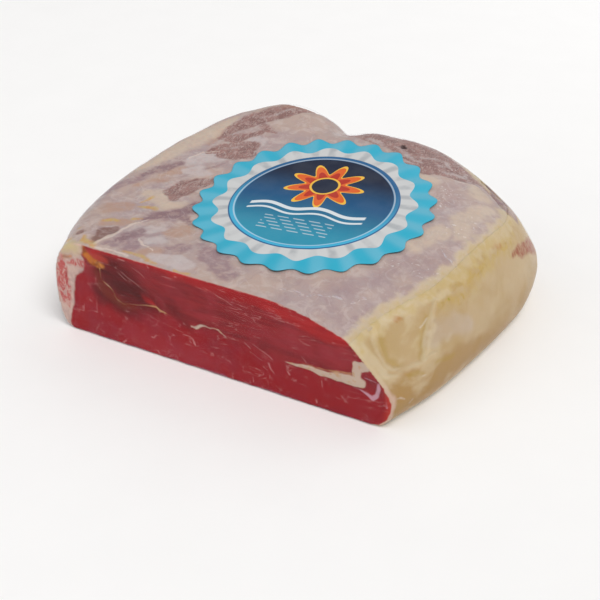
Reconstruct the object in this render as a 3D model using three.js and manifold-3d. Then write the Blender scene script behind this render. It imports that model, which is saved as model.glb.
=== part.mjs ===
// Half of a boneless cured ham in clear film, lying on its flat underside.
// It is cut straight through at the front, keeps its fat cover on the right side, and
// carries a round scalloped label on its top.
// Millimetres, +Z up, +X along the cut towards the fat side, +Y from the cut to the back.
import * as THREE from 'three';
import { mergeVertices } from 'three/addons/utils/BufferGeometryUtils.js';
import Module from 'manifold-3d';

const wasm = await Module();
wasm.setup();
const { smoothstep } = THREE.MathUtils;

// Plan of the ham at its widest, anticlockwise from the front left, with the cut still to come.
const PLAN = [
  [-98, -160], [-58, -203], [5, -218], [68, -203], [106, -160], [117, -114], [129, -76],
  [136, -38], [141, 0], [143, 42], [133, 80], [96, 103], [20, 111], [-50, 113], [-93, 92],
  [-114, 45], [-126, -5], [-124, -64], [-104, -118],
];
const CUT_Y = -111.5;

// Height of the top face, from the front edge of the cut to the back.
const FRONT_HEIGHT = 62;
const TOP_SLOPE = 0.125;
const LEVEL_FROM_Y = 50;
const BACK_FALL = 16;
const BACK_FALL_REACH = 80;

// The top face falls off to the fat side, most at the front and at the back corner.
const FAT_SIDE_FALL = { startX: 30, span: 90, least: 7, more: 21, middleY: -24, reachY: 85 };
const LEFT_SAG = { depth: 2.5, fromX: 10, toX: -60, middleY: -10, reachY: 60 };
const TILT = { slope: 0.045, aboutX: 19, fullFromCut: 55 };
const BACK_LOBE = { height: 11, x: -51, y: 87, radius: 28 };
const BACK_NOTCH = { depth: 9, x: -8, width: 9, fromY: 55, toY: 95 };

// Section of the sides: the widest height, how far the top edge and the foot draw in,
// and how square the shoulder is (2 is an ellipse).
const LEFT_SIDE = { belly: 31, shoulder: 24, foot: 9, square: 2.4 };
const BACK_SIDE = { belly: 31, shoulder: 30, foot: 12, square: 2.1 };
const FAT_SIDE = { belly: 20, shoulder: 24, foot: 9, square: 2.0 };
const CUT_CORNER = { belly: 16, shoulder: 33, foot: 11, square: 1.6 };
const CUT_CORNER_REACH = 75;

// The part in front of the cut is taken away, so it only has to stay simple.
const CUT_OFF_SIDE = { belly: 30, shoulder: 12, foot: 6, square: 2.0 };
const CUT_OFF_REACH = 45;

// Fat cover over the right side, and the gap that keeps it clear of the lean.
const FAT_THICKNESS = 5.5;
const FAT_OVERLAP = 2.5;
const FAT_FACING = { none: 0.35, full: 0.75, fromX: 55, fullX: 75 };
const FAT_STEEPNESS = { top: { none: 0.5, full: 0.8 }, foot: { none: 0.1, full: 0.3 } };
const LAYER_GAP = 0.35;

// Round label with a scalloped edge. One scallop's tip points at firstTip, in radians from +X.
const LABEL = {
  x: 19.3, y: -16.3, radius: 72, scallop: 2.4, count: 24, firstTip: 0.173, thickness: 0.6, lift: 0.45,
};

// How finely the surfaces are divided.
const ROUND_STEPS = 96;
const FOOT_STEPS = 4;
const SHOULDER_STEPS = 7;
const TOP_RINGS = [0.92, 0.82, 0.7, 0.56, 0.4, 0.2];
const UNDER_RINGS = [0.4, 0.9];
const LABEL_STEPS_PER_SCALLOP = 6;
const LABEL_RINGS = [1, 0.82, 0.6, 0.35];
const OUTLINE_DIVISIONS = 800;
const MERGE_DISTANCE = 1e-4;
const CUT_BLOCK = 600;

function bell(distance, width) {
  return Math.exp(-((distance / width) ** 2));
}

// Height of the finished top face above the flat underside.
// It changes no more from a little way in front of the cut.
function topHeight(x, anyY) {
  const y = Math.max(anyY, CUT_Y - CUT_OFF_REACH / 2);
  const fall = FAT_SIDE_FALL;
  const outward = Math.max(0, (x - fall.startX) / fall.span);
  const sideFall = (fall.least + fall.more * ((y - fall.middleY) / fall.reachY) ** 2) * outward ** 2;
  const sag = LEFT_SAG.depth * smoothstep(LEFT_SAG.fromX - x, 0, LEFT_SAG.fromX - LEFT_SAG.toX)
    * bell(y - LEFT_SAG.middleY, LEFT_SAG.reachY);
  const lobe = BACK_LOBE.height * bell(Math.hypot(x - BACK_LOBE.x, y - BACK_LOBE.y), BACK_LOBE.radius);
  const notch = BACK_NOTCH.depth * bell(x - BACK_NOTCH.x, BACK_NOTCH.width)
    * smoothstep(y, BACK_NOTCH.fromY, BACK_NOTCH.toY);
  const backFall = BACK_FALL * smoothstep(y, LEVEL_FROM_Y, LEVEL_FROM_Y + BACK_FALL_REACH);
  const tilt = TILT.slope * (x - TILT.aboutX) * smoothstep(y - CUT_Y, 0, TILT.fullFromCut);
  return FRONT_HEIGHT + TOP_SLOPE * (y - CUT_Y) + tilt - sideFall - sag + lobe - notch - backFall;
}

function mixSides(weights) {
  const total = weights.reduce((sum, [weight]) => sum + weight, 0);
  const mixed = { belly: 0, shoulder: 0, foot: 0, square: 0 };
  for (const [weight, side] of weights) {
    for (const key of Object.keys(mixed)) {
      mixed[key] += (side[key] * weight) / total;
    }
  }
  return mixed;
}

// The side section at a place on the plan, mixed by the way that the wall faces there.
function sideAt(point, outward) {
  const behindCut = point.y - CUT_Y;
  const corner = smoothstep(CUT_CORNER_REACH - behindCut, 0, CUT_CORNER_REACH);
  const cutOff = smoothstep(-behindCut, 0, CUT_OFF_REACH);
  const right = Math.max(0, outward.x) ** 2 * (1 - cutOff);
  return mixSides([
    [Math.max(0, -outward.x) ** 2 * (1 - cutOff), LEFT_SIDE],
    [Math.max(0, outward.y) ** 2, BACK_SIDE],
    [Math.max(0, -outward.y) ** 2 + cutOff, CUT_OFF_SIDE],
    [right * (1 - corner), FAT_SIDE],
    [right * corner, CUT_CORNER],
  ]);
}

function planOutline() {
  const curve = new THREE.CatmullRomCurve3(PLAN.map(([x, y]) => new THREE.Vector3(x, y, 0)), true);
  curve.arcLengthDivisions = OUTLINE_DIVISIONS;
  const outline = [];
  for (let i = 0; i < ROUND_STEPS; i++) {
    const point = curve.getPointAt(i / ROUND_STEPS);
    const along = curve.getTangentAt(i / ROUND_STEPS);
    outline.push({ point, outward: new THREE.Vector3(along.y, -along.x, 0) });
  }
  return outline;
}

// One upright section of the ham, from the foot of the side up to the edge of the top face.
function sectionAt({ point, outward }) {
  const side = sideAt(point, outward);
  const section = [];
  for (let k = 0; k <= FOOT_STEPS; k++) {
    const turn = (k / FOOT_STEPS) * (Math.PI / 2);
    const inset = side.foot * (1 - Math.sin(turn));
    const place = point.clone().addScaledVector(outward, -inset);
    place.z = side.belly * (1 - Math.cos(turn));
    section.push(place);
  }
  for (let k = 1; k <= SHOULDER_STEPS; k++) {
    const turn = (k / SHOULDER_STEPS) * (Math.PI / 2);
    const inset = side.shoulder * (1 - Math.cos(turn) ** (2 / side.square));
    const place = point.clone().addScaledVector(outward, -inset);
    const rise = Math.sin(turn) ** (2 / side.square);
    place.z = side.belly + (topHeight(place.x, place.y) - side.belly) * rise;
    section.push(place);
  }
  return section;
}

// The rings of the whole uncut ham, foot first, and then its two middles.
function hamRings() {
  const sections = planOutline().map(sectionAt);
  const rings = sections[0].map((_, k) => sections.map((section) => section[k]));
  const foot = rings[0];
  const edge = rings[rings.length - 1];
  const middle = new THREE.Vector3(0, 0, 0);
  rings.unshift(...UNDER_RINGS.map((scale) => foot.map((p) => middle.clone().lerp(p, scale))));
  for (const scale of TOP_RINGS) {
    rings.push(edge.map((p) => new THREE.Vector3(
      middle.x + (p.x - middle.x) * scale,
      middle.y + (p.y - middle.y) * scale,
      topHeight(middle.x + (p.x - middle.x) * scale, middle.y + (p.y - middle.y) * scale),
    )));
  }
  return { rings, bottom: new THREE.Vector3(0, 0, 0), top: new THREE.Vector3(0, 0, topHeight(0, 0)) };
}

// A closed skin over a stack of rings, with a fan over the first ring and over the last.
function closedSkin({ rings, bottom, top }) {
  const count = rings[0].length;
  const places = rings.flat();
  const bottomIndex = places.length;
  places.push(bottom, top);
  const faces = [];
  for (let i = 0; i < count; i++) {
    const next = (i + 1) % count;
    faces.push(bottomIndex, next, i);
    for (let k = 0; k + 1 < rings.length; k++) {
      const low = k * count;
      const high = low + count;
      faces.push(low + i, low + next, high + next);
      faces.push(low + i, high + next, high + i);
    }
    const last = (rings.length - 1) * count;
    faces.push(bottomIndex + 1, last + i, last + next);
  }
  const geometry = new THREE.BufferGeometry().setFromPoints(places);
  geometry.setIndex(faces);
  geometry.computeVertexNormals();
  return geometry;
}

// How deep the fat cover lies under a place on the skin: below zero, there is none.
// It covers what faces right, from the edge of the top face down round the foot.
function fatDepth(place, outward) {
  const level = Math.hypot(outward.x, outward.y);
  const turned = level > 0 ? smoothstep(outward.x / level, FAT_FACING.none, FAT_FACING.full) : 0;
  const rightward = smoothstep(place.x, FAT_FACING.fromX, FAT_FACING.fullX);
  const limit = outward.z > 0 ? FAT_STEEPNESS.top : FAT_STEEPNESS.foot;
  const steep = smoothstep(level, limit.none, limit.full);
  return -FAT_OVERLAP + (FAT_THICKNESS + FAT_OVERLAP) * turned * rightward * steep;
}

// The skin moved inwards by the fat's depth, less a gap. Where there is no fat it lies outside.
function underFat(skin, gap) {
  const moved = skin.clone();
  const places = moved.getAttribute('position');
  const normals = moved.getAttribute('normal');
  const place = new THREE.Vector3();
  const outward = new THREE.Vector3();
  for (let i = 0; i < places.count; i++) {
    place.fromBufferAttribute(places, i);
    outward.fromBufferAttribute(normals, i);
    place.addScaledVector(outward, gap - fatDepth(place, outward));
    places.setXYZ(i, place.x, place.y, place.z);
  }
  return moved;
}

function toSolid(geometry) {
  const bare = geometry.clone();
  bare.deleteAttribute('normal');
  bare.deleteAttribute('uv');
  const merged = mergeVertices(bare, MERGE_DISTANCE);
  return new wasm.Manifold(new wasm.Mesh({
    numProp: 3,
    vertProperties: new Float32Array(merged.getAttribute('position').array),
    triVerts: new Uint32Array(merged.getIndex().array),
  }));
}

function toGeometry(solid) {
  const mesh = solid.getMesh();
  const geometry = new THREE.BufferGeometry();
  geometry.setAttribute('position', new THREE.BufferAttribute(new Float32Array(mesh.vertProperties), 3));
  geometry.setIndex(new THREE.BufferAttribute(new Uint32Array(mesh.triVerts), 1));
  return geometry;
}

// Everything in front of the cut.
function cutAway() {
  const block = new THREE.BoxGeometry(CUT_BLOCK, CUT_BLOCK, CUT_BLOCK);
  block.translate(0, CUT_Y - CUT_BLOCK / 2, 0);
  return toSolid(block);
}

function leanGeometry(skin) {
  return toGeometry(toSolid(skin).intersect(toSolid(underFat(skin, 0))).subtract(cutAway()));
}

function fatGeometry(skin) {
  return toGeometry(toSolid(skin).subtract(toSolid(underFat(skin, LAYER_GAP))).subtract(cutAway()));
}

// A thin scalloped disc that follows the top face.
function labelGeometry() {
  const steps = LABEL.count * LABEL_STEPS_PER_SCALLOP;
  const ringAt = (scale, lift) => Array.from({ length: steps }, (_, i) => {
    const angle = (i / steps) * Math.PI * 2;
    const wave = scale === 1 ? LABEL.scallop * Math.cos(LABEL.count * (angle - LABEL.firstTip)) : 0;
    const radius = LABEL.radius * scale + wave;
    const x = LABEL.x + radius * Math.cos(angle);
    const y = LABEL.y + radius * Math.sin(angle);
    return new THREE.Vector3(x, y, topHeight(x, y) + lift);
  });
  const under = [...LABEL_RINGS].reverse().map((scale) => ringAt(scale, LABEL.lift));
  const over = LABEL_RINGS.map((scale) => ringAt(scale, LABEL.lift + LABEL.thickness));
  const middle = topHeight(LABEL.x, LABEL.y) + LABEL.lift;
  return closedSkin({
    rings: [...under, ...over],
    bottom: new THREE.Vector3(LABEL.x, LABEL.y, middle),
    top: new THREE.Vector3(LABEL.x, LABEL.y, middle + LABEL.thickness),
  });
}

function cutMeat() {
  return new THREE.MeshStandardMaterial({ color: 0x8f2a30, roughness: 0.45, metalness: 0 });
}

function hamFat() {
  return new THREE.MeshStandardMaterial({ color: 0xcdb98f, roughness: 0.4, metalness: 0 });
}

function printedPaper() {
  return new THREE.MeshStandardMaterial({ color: 0x4cb4d6, roughness: 0.5, metalness: 0 });
}

function namedMesh(name, geometry, material) {
  const mesh = new THREE.Mesh(geometry, material);
  mesh.name = name;
  return mesh;
}

// The ham with its box centred over the origin, resting on z = 0.
function buildHam() {
  const skin = closedSkin(hamRings());
  const ham = new THREE.Group();
  ham.add(namedMesh('lean', leanGeometry(skin), cutMeat()));
  ham.add(namedMesh('fat_cap', fatGeometry(skin), hamFat()));
  ham.add(namedMesh('label', labelGeometry(), printedPaper()));
  const middle = new THREE.Box3().setFromObject(ham).getCenter(new THREE.Vector3());
  ham.position.set(-middle.x, -middle.y, 0);
  return ham;
}

const ham = buildHam();
export default ham;
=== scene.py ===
"""Dresses half of a boneless cured ham: meat with its cut, fat cover, clear film and label.

Lengths in the tables of marks are millimetres in the frame's axes: +X along the cut towards
the fat, +Y from the cut to the back, +Z up. The ham rests on z = 0.
"""

import math

import bpy
import numpy as np
from bpy.props import FloatProperty, FloatVectorProperty, IntProperty, PointerProperty
from mathutils import Euler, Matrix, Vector, noise
from mathutils.bvhtree import BVHTree


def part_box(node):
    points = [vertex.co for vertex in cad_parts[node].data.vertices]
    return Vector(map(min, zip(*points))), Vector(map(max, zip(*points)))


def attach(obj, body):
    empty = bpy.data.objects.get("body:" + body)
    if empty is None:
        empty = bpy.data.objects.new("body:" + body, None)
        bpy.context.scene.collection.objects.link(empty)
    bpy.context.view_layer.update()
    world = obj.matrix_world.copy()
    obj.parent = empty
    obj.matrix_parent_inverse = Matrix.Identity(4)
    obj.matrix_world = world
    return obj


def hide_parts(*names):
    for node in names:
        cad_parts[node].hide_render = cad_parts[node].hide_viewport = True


bl_info = {
    "name": "Cured Ham",
    "version": (1, 0, 0),
    "blender": (4, 5, 0),
    "location": "View3D > Sidebar > Ham",
    "description": "Half of a boneless cured ham in clear film with a scalloped label",
    "category": "Add Mesh",
}

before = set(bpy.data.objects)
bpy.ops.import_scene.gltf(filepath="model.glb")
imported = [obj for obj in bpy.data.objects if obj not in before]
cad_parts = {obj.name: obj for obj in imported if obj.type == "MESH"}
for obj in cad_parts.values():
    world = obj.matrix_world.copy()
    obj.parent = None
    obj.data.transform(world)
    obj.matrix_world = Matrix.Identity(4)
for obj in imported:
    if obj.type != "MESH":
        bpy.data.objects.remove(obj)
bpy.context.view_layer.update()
MM = 0.001
FAR = 25.0
BODY = "root"
CUT_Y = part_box("lean")[0].y / MM
LABEL_LOW, LABEL_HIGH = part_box("label")

# Where a first scallop's tip lies, from +X, on the label's edge and on its silver band.
FIRST_TIP = 0.173
FIRST_BAND_TIP = math.radians(17.8)

# Radii of the label's rings, in millimetres, from its edge inwards.
LABEL_RINGS = [71, 69.5, 68, 66, 64, 62, 60.3, 58.5, 56.5, 54.5, 53, 52, 51.4, 50, 48.6, 48,
               46, 43, 40, 36, 32, 28, 24, 20, 15, 10, 5]

# What the two soft lights look at, in metres.
LIT_PLACE = Vector((0, 0, 0.04))


def srgb(red, green, blue):
    """A colour as it shows on a screen, from 0 to 255, as the linear one that Blender mixes."""
    shares = [value / 255 for value in (red, green, blue)]
    return tuple(s / 12.92 if s <= 0.04045 else ((s + 0.055) / 1.055) ** 2.4 for s in shares)


# Marks on the top, as strokes of (x, y, half width) seen from above.
TOP_MARKS = {
    "meat": [
        [(-86, 36, 3), (-84, 46, 5), (-78, 56, 8), (-69, 64, 9), (-59, 73, 10), (-51, 83, 9),
         (-44, 92, 6)],
        [(-84, 15, 2.5), (-78, 23, 6), (-69, 28, 8), (-60, 30, 5)],
        [(-80, 36, 5), (-72, 40, 5), (-64, 46, 3)],
        [(-74, 17, 5), (-66, 18, 6), (-58, 23, 5)],
        [(-66, 55, 2), (-59, 51, 2.5), (-52, 48, 1.5)],
        [(-65, -15, 5), (-70, -20, 7), (-76, -28, 9), (-79, -34, 7.5), (-76, -41, 3.5)],
        [(-4, 80, 13), (18, 76, 15), (38, 70, 17), (56, 62, 16), (72, 64, 12), (86, 68, 7)],
        [(46, 44, 3), (58, 46, 5), (70, 52, 6), (82, 58, 5)],
        [(90, 72, 8), (104, 60, 8), (114, 51, 6), (118, 43, 3)],
    ],
    "plum": [
        [(-109, -24, 2), (-104, -15, 5), (-98, -8, 3.5), (-93, -2, 1.5)],
        [(-75, -2, 0.8), (-70, 3, 1.4), (-66, 8, 1.2)],
        [(-57, -42, 2.5), (-60, -48, 4), (-61, -55, 5), (-68, -61, 4), (-77, -70, 1.5)],
        [(-60, -58, 4), (-53, -60, 3), (-47, -64, 1.5)],
        [(-72, -84, 3), (-75, -92, 4), (-78, -101, 2)],
    ],
    "mauve": [
        [(-57, -42, 4), (-60, -50, 8), (-66, -60, 7), (-77, -70, 4)],
        [(-82, -108, 2), (-77, -101, 6), (-73, -95, 8), (-72, -88, 6), (-70, -82, 3)],
        [(-64, -103, 5), (-66, -96, 5)],
        [(-42, -95, 5), (-38, -91, 6)],
        [(-27, -84, 3), (-17, -91, 6), (-8, -98, 7), (1, -102, 6)],
        [(-122, -48, 4), (-116, -36, 5), (-109, -26, 4)],
    ],
    "dusk": [
        [(80, 20, 9), (78, 34, 7)],
        [(84, -52, 7), (94, -46, 9), (102, -38, 6)],
        [(76, -70, 6), (82, -60, 5)],
        [(58, -86, 6), (66, -82, 6)],
    ],
    # Pale lines painted over the bare meat, standing for glare where the film lies wrinkled on it.
    "haze": [
        [(28, 64, 1.2), (36, 58, 1.8), (44, 55, 1.6), (52, 52, 1)],
        [(49, 60, 1.2), (56, 65, 1.6), (63, 66, 1.4), (66, 60, 1.2), (61, 56, 1)],
        [(66, 50, 1.4), (72, 54, 1.6), (78, 60, 1.6), (76, 67, 1.2)],
        [(8, 68, 1.6), (18, 64, 2), (24, 59, 1.4)],
        [(82, 56, 1.4), (88, 62, 1.8)],
        [(-70, 62, 1), (-62, 68, 1.2), (-56, 76, 1)],
        [(-76, 24, 0.8), (-68, 30, 1)],
    ],
    "behind": [[(101, 76, 13.5), (114, 53, 9), (120, 50, 7)]],
    "brown": [
        [(-86, -88, 2), (-88, -94, 5), (-88, -101, 3.5), (-88, -108, 1.5)],
        [(-103, -100, 2.5)],
    ],
    "peach": [
        [(-52, -76, 6), (-48, -73, 7)],
        [(-98, -20, 2), (-92, -11, 4.5), (-88, -5, 2)],
        [(-106, -35, 1.2), (-98, -24, 1.4)],
        [(-90, 28, 2.5), (-88, 42, 3), (-84, 52, 2)],
        [(-49, -99, 5), (-54, -104, 4)],
        [(-105, -66, 8), (-98, -62, 7)],
        [(-94, -84, 5), (-86, -78, 5)],
    ],
    "tan": [
        [(-62, 81, 4), (-54, 87, 5), (-47, 88, 4)],
        [(-95, -26, 2), (-93, -24, 2.6)],
    ],
    "pale": [
        [(-88, 3, 5), (-80, 10, 7), (-73, 12, 5)],
        [(-86, -8, 4), (-79, -6, 6), (-71, -7, 3)],
        [(-73, -85, 2), (-66, -80, 4.5), (-60, -76, 3)],
        [(-60, -92, 3), (-54, -88, 4)],
        [(-44, -105, 5), (-34, -104, 7), (-24, -106, 5)],
        [(-65, 38, 3.5), (-57, 36, 4)],
    ],
    "cream": [
        [(-117, -14, 4), (-110, 4, 7), (-103, 20, 9), (-98, 36, 8), (-93, 50, 6), (-89, 60, 3)],
        [(-92, -42, 5), (-84, -44, 7), (-74, -50, 5), (-66, -46, 4)],
        [(104, 30, 5), (98, 6, 7), (104, -14, 5)],
        [(92, -16, 8), (84, -34, 5)],
        [(54, 40, 4), (66, 34, 5)],
        [(88, 50, 5), (96, 44, 6)],
    ],
    "butter": [[(-116, -106, 6), (-105, -107, 7), (-95, -109, 4)]],
    "stain": [
        [(-90, -58, 0.9), (-84, -57, 2), (-77, -57.5, 1)],
        [(-91, -52, 0.8), (-88, -46, 1)],
        [(-97, -82, 1.3), (-91, -79, 2)],
        [(-84, -71, 1), (-79, -70, 0.8)],
        [(-108, -95, 1.1)],
        [(-112, -104, 1.1), (-106, -107, 1.1)],
        [(-97, -103, 1), (-94, -107, 2), (-90, -109, 2.2), (-86, -111.5, 1.4)],
        [(-66, -108, 0.4), (-60, -107.8, 1.2), (-53, -108.6, 1.4), (-47, -110, 0.9),
         (-42, -111, 0.4)],
        [(-29, -112.3, 0.6), (-20, -112.5, 1)],
        [(116, 17, 1), (118, 21, 1.6), (121, 30, 0.8)],
        [(104, -62, 1), (109, -56, 1)],
    ],
    "seam": [
        [(-87, -111, 0.8), (-85, -103, 1), (-83, -94, 1), (-81, -85, 0.9), (-79, -76, 0.8),
         (-73, -70, 0.6)],
        [(-66, -92, 0.7), (-60, -97, 1), (-55, -98, 1), (-50, -100, 0.8)],
        [(-86, -112, 0.5), (-76, -110.5, 0.6), (-68, -110.5, 0.7), (-60, -111.5, 0.7)],
        [(-92, 4, 0.5), (-87, 14, 0.6), (-79, 19, 0.6)],
        [(74, 47, 0.4), (82, 50, 0.6), (88, 55, 0.4)],
    ],
    # Where white specks are painted on the top, standing for glints of the film.
    "glint_speck": [
        [(82, 14, 9), (80, 30, 8)],
        [(96, -48, 9)],
        [(79, -57, 6)],
        [(100, -10, 8), (104, 10, 6)],
        [(70, 66, 10)],
    ],
    # Straight creases in the film, painted as thin white glints on the top and in the film.
    "crease_glint": [
        [(96, -29, 0.2), (103, -33.5, 0.45), (111, -38.5, 0.2)],
        [(34, -103, 0.4), (47, -98, 0.4)],
        [(45, -101, 0.35), (66, -91, 0.45)],
        [(71, -90, 0.35), (79, -84, 0.35)],
    ],
    # A small pit, sunk into the top and painted dark as the shade inside it.
    "pit": [[(33, 65, 1.5), (31, 69, 1.5)]],
}

# Marks on the cut, as strokes of (x, z, half width) seen from the front.
CUT_MARKS = {
    "dark": [
        [(-79, 48, 6), (-70, 44, 11), (-60, 40, 12), (-50, 36, 8), (-42, 34, 4)],
        [(-76, 54, 4), (-66, 53, 4.5), (-56, 50, 3)],
        [(-84, 34, 2), (-78, 30, 4.5), (-68, 27, 4.5), (-56, 26, 3)],
        [(-44, 46, -1), (-36, 40, 0), (-30, 35, 1), (-22, 29, 0.5), (-17, 26, -1)],
        [(-24, 50, -3), (-6, 46, -3), (10, 42, -3.5)],
    ],
    "bright": [
        [(-84, 59.5, 1), (-70, 61.5, 1), (-44, 60.5, 1.6), (-30, 59.5, 2), (-16, 59, 2.8),
         (-2, 59, 3.4), (10, 58.5, 3.8), (26, 58.3, 3.6), (40, 56, 4), (50, 53.5, 4.4),
         (60, 51.5, 4.8), (70, 49.5, 4.8), (78, 48.5, 3.3), (82.5, 47, 1.5)],
        [(-50, 38.5, 1), (-45.5, 36.5, 2), (-42, 34.5, 0.6)],
    ],
    "flush": [
        [(66, 38, 5), (76, 39, 6), (84, 40, 4)],
        [(36, 36, 3), (46, 38, 5), (56, 36, 5)],
        [(-60, 8, 5), (-44, 6, 7), (-24, 6, 7), (0, 8, 5)],
    ],
    # An orange glow painted along the cut's top left edge and down its right edge, standing for light
    # shining through the meat's edge.
    "edge_glow": [[(-88, 58, 1.5), (-82, 56, 2.8), (-75, 55, 1.4)],
              [(102.5, 30, 0.8), (105, 24, 1.4), (106.5, 16, 1.8), (106, 9, 1.4), (103.5, 4, 0.6)]],
    "deep": [[(20, 12, 8), (60, 12, 10), (90, 12, 9), (100, 12, 6)]],
    "tendon": [
        [(-83, 51.8, 0.7), (-80, 51, 1), (-78, 49.5, 0.5)],
        [(-79.5, 49, 0.2), (-80, 41, 0.1)],
        [(-78.5, 40, 0.3), (-75, 37.5, 0.5), (-72, 35, 0.2), (-70, 31, 0.1), (-64, 29.5, 0)],
        [(-65, 29.5, 0), (-56, 31.5, 0.2), (-50, 33, 0.3), (-46, 33.7, 0.4), (-41.5, 34, 0.6),
         (-39, 31.5, 0.6), (-35, 31, 0.3)],
        [(-34, 30.5, -0.1), (-21, 30.5, -0.1)],
        [(54, 26.4, 0), (66, 27.6, 0.3), (76, 28.4, 0.3), (85, 29.6, 0.3)],
    ],
    "umber": [
        [(-83, 46, 1), (-80, 38, 2.5), (-75, 33, 3), (-66, 29, 3), (-56, 29, 1.5)],
    ],
    "fat": [
        [(-18.5, 28, 0.5), (-14.5, 28.3, 1), (-11.5, 30.7, 0.9), (-9, 31.5, 0.5), (-6.5, 31, 0.2),
         (-0.5, 31.5, 0.3), (3, 29.5, 0.2), (6, 27.6, 0.1)],
        [(43, 24.6, 0.1), (51, 24.5, 0.7), (60, 25, 1.4), (69, 24.8, 2.2), (77, 24.9, 3),
         (85, 25.6, 3.2), (90, 25.9, 2.8)],
        [(86.6, 36, 2.4), (89.6, 35.4, 3.4), (92.4, 35.4, 2.2)],
        [(87.6, 34, 3), (87.6, 30.5, 2.6), (88, 27.6, 2.6)],
        [(82.5, 45.4, 0.3), (85.5, 45.6, 0.7), (88, 43.5, 0.4)],
    ],
    # Glints of the film on the cut, painted: a lilac arc and short pale lines where the film catches
    # the light.
    "film_glint": [
        [(82, 21.4, 0), (89, 21.4, 0.3), (93, 19.9, 0.8), (96, 18.3, 1.3), (98.7, 20.6, 1.1),
         (100.3, 26, 1.1), (100.2, 28.5, 0.5)],
        [(92.5, 29.4, 0.1), (96, 28.7, 0.3), (99.6, 28.4, 0.3)],
        [(104.3, 19, 0), (104.8, 15, 0.2)],
    ],
    "line": [
        [(-65, 51, 0.1), (-56.5, 46.5, 0.3), (-50.5, 43, 0.2)],
        [(-68, 50, 0.1), (-61, 46, 0.1)],
        [(-50, 43, 0.1), (-37, 40.5, 0), (-34, 36.5, 0.1)],
        [(-66, 59.4, 0.2), (-62, 58.6, 0.3)],
        [(-57, 56, 0), (-49, 52, 0.1)],
        [(-9, 57.5, 0), (-1, 54, 0.1), (9.5, 50, 0.2)],
        [(-73, 39, 0), (-70, 37.5, 0.1), (-71, 40, 0)],
        [(-46, 25, 0), (-35, 24, 0.1), (-26.5, 22, 0), (-17, 22.8, 0.1)],
        [(-24, 20.5, 0.2), (-17.5, 20.3, 0.4), (-16.2, 17.5, 0.5), (-15, 15.2, 0.2)],
        [(-46, 12, 0.2), (-44.3, 11.4, 0.3), (-43, 14.4, 0.2), (-41, 15, 0.1)],
        [(-66.5, 1.8, 0.3), (-64, 3.4, 0.3)],
        [(-42, 3.8, 0.2), (-41, 2.4, 0.2)],
        [(-84, 30, 0), (-84, 18, 0.1)],
        [(-91, 16.5, 0.1), (-87, 18.6, 0.1), (-84, 18, 0.2)],
        [(-83.5, 10, 0.1), (-85.6, 5, 0.2), (-86, 2.5, 0.1)],
        [(17, 28.5, 0), (21, 25.6, 0.3)],
        [(22.5, 29.5, 0), (29, 26, 0.2), (35.5, 22.5, 0.2)],
        [(22, 23, 0.1), (27.5, 20.6, 0.2)],
        [(32.5, 19.6, 0.4), (34, 16.2, 0.3), (36.8, 14, 0.1)],
        [(44, 19.2, 0.1), (46, 16.5, 0.4)],
        [(66, 19.6, 0.1), (67, 15.8, 0.3)],
        [(22, 8, 0.2), (22.5, 4, 0.3)],
        [(54, 30.6, 0), (56.5, 27.6, 0.2)],
        [(63.3, 5.4, 0.2), (63.8, 3.4, 0.3)],
    ],
    "rind": [
        [(-96, 50, 5), (-98, 45, 4.5), (-102, 40, 3.3), (-102.5, 34, 3.3), (-103.5, 28, 3.2),
         (-103.8, 21, 2.9), (-106.5, 12, 3), (-108, 5, 2.9), (-107.5, -1, 3)],
        [(-112, 50, 8), (-113, 35, 7), (-113, 20, 7), (-112, 8, 5)],
        [(-106, 57, 8), (-95, 58, 4)],
        [(-105, 50, 5), (-104, 44, 4)],
    ],
    "rose": [
        [(-108, 50, 1.2), (-107.8, 44, 3.6), (-109, 37, 5.4), (-108.3, 28, 5.2), (-107.2, 20, 3.2),
         (-105.5, 15, 0.8)],
        [(-104, 47, 0.8), (-98, 47.5, 2.2), (-92, 49, 2)],
    ],
    "butter": [[(-114, 59, 5), (-104, 58, 5), (-97, 57, 3)]],
    "amber": [
        [(-90, 59, 1.4), (-88.5, 55.5, 2.6), (-85, 52.6, 2.6), (-81, 51, 1.8), (-78, 50, 0.8)],
        [(-106, 50, 0.8), (-101, 51, 0.8)],
    ],
}

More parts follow.
